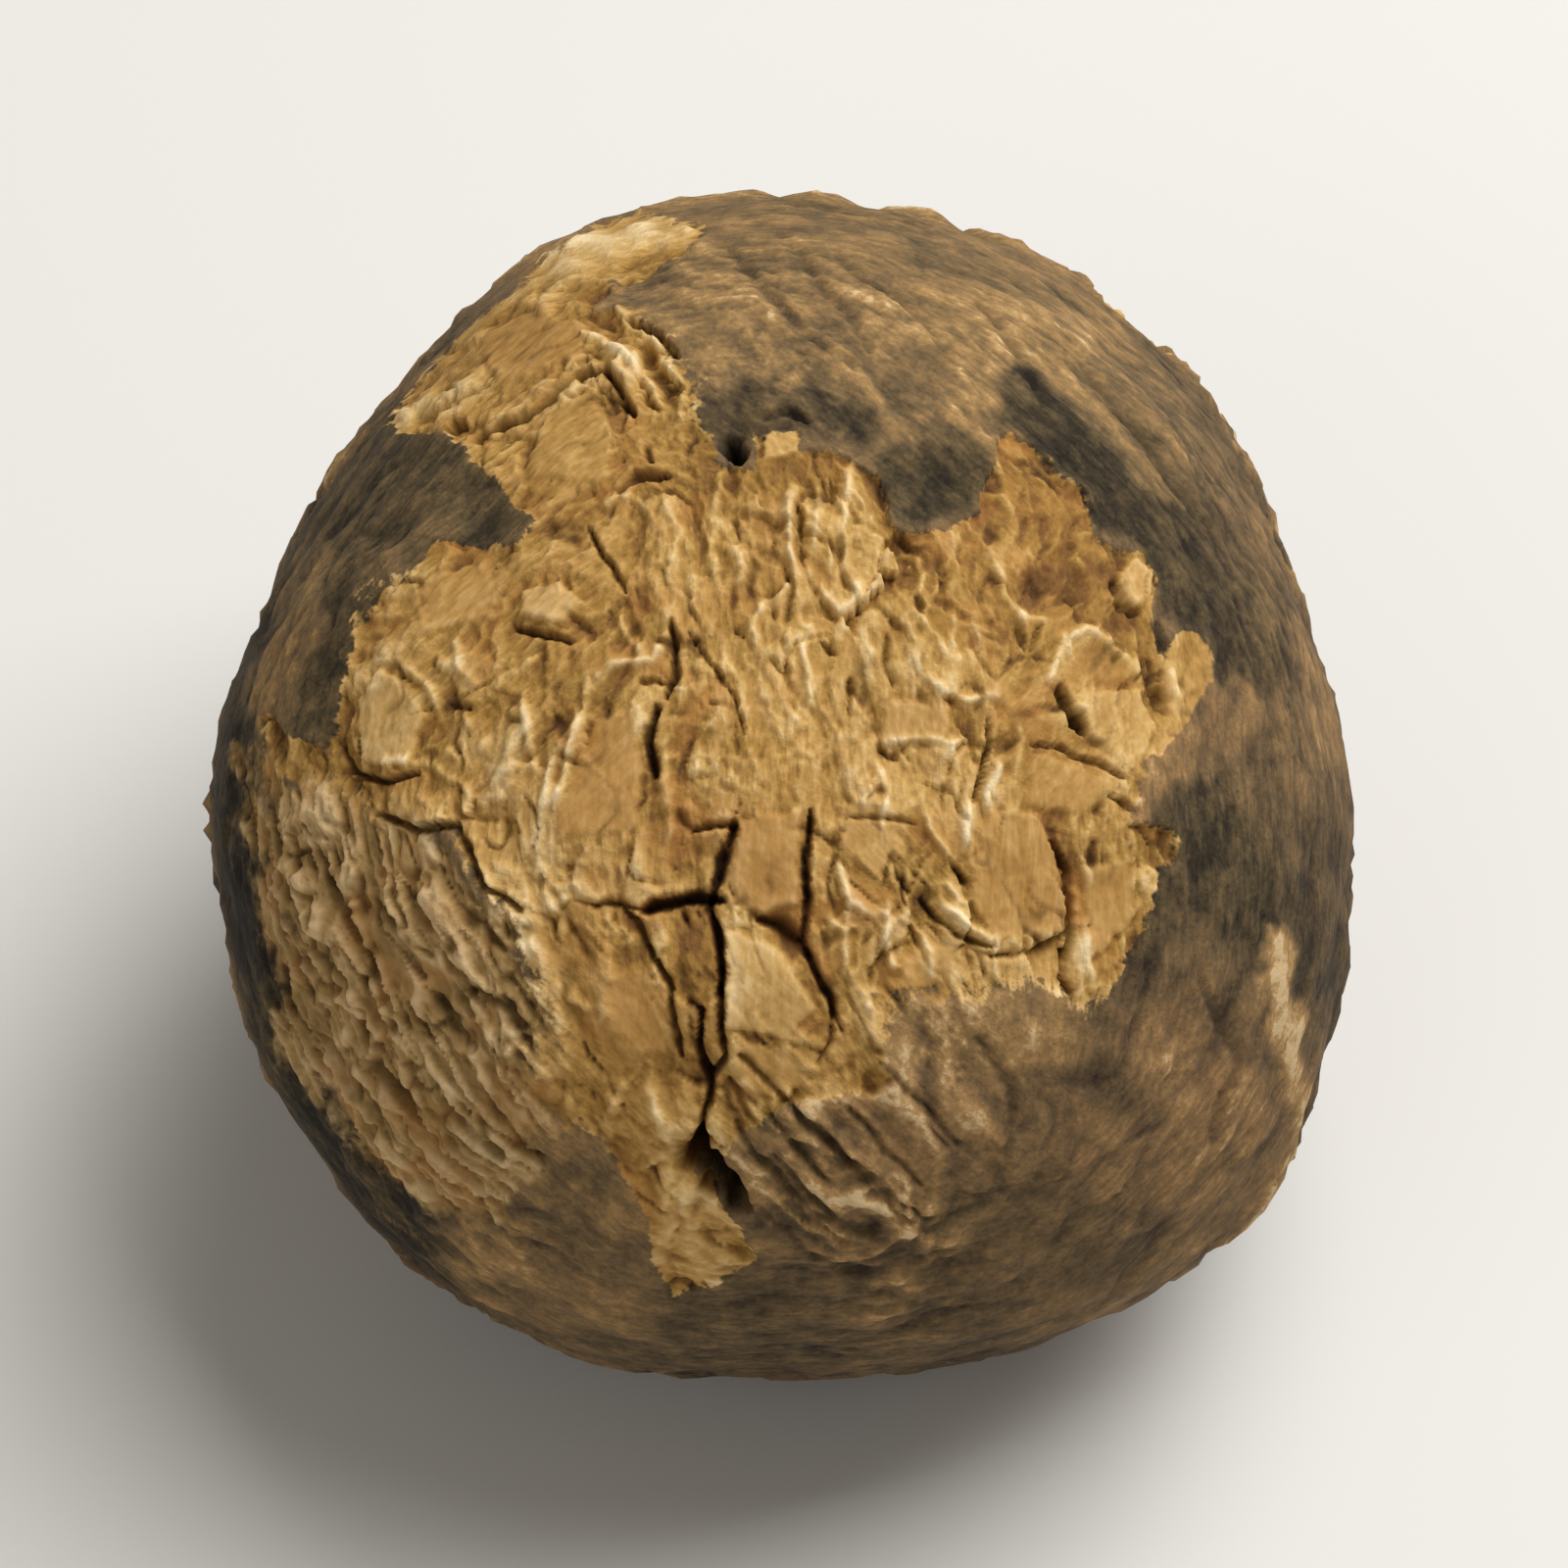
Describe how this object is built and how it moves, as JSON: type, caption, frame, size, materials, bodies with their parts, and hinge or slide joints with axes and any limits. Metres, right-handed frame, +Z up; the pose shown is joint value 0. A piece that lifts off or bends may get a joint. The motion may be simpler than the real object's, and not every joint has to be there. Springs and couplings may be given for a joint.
{
  "type": "freeze-dried potato",
  "caption": "Whole freeze-dried potato: a roundish tuber with dark dried skin and a bare, crazed and cracked flesh face, resting on a small flat spot.",
  "frame": {"origin": "middle of the bottom of the bounding box, on the small flat spot that the potato rests on", "axes": "+Z up, away from the surface that it rests on; -Y towards the front, where the bare face looks up and forwards; +X to the right as seen from the front"},
  "size_m": [0.0554, 0.0606, 0.0497],
  "materials": {
    "dried_potato": "matte"
  },
  "bodies": {
    "root": {"potato": "dried_potato"}
  },
  "joints": []
}
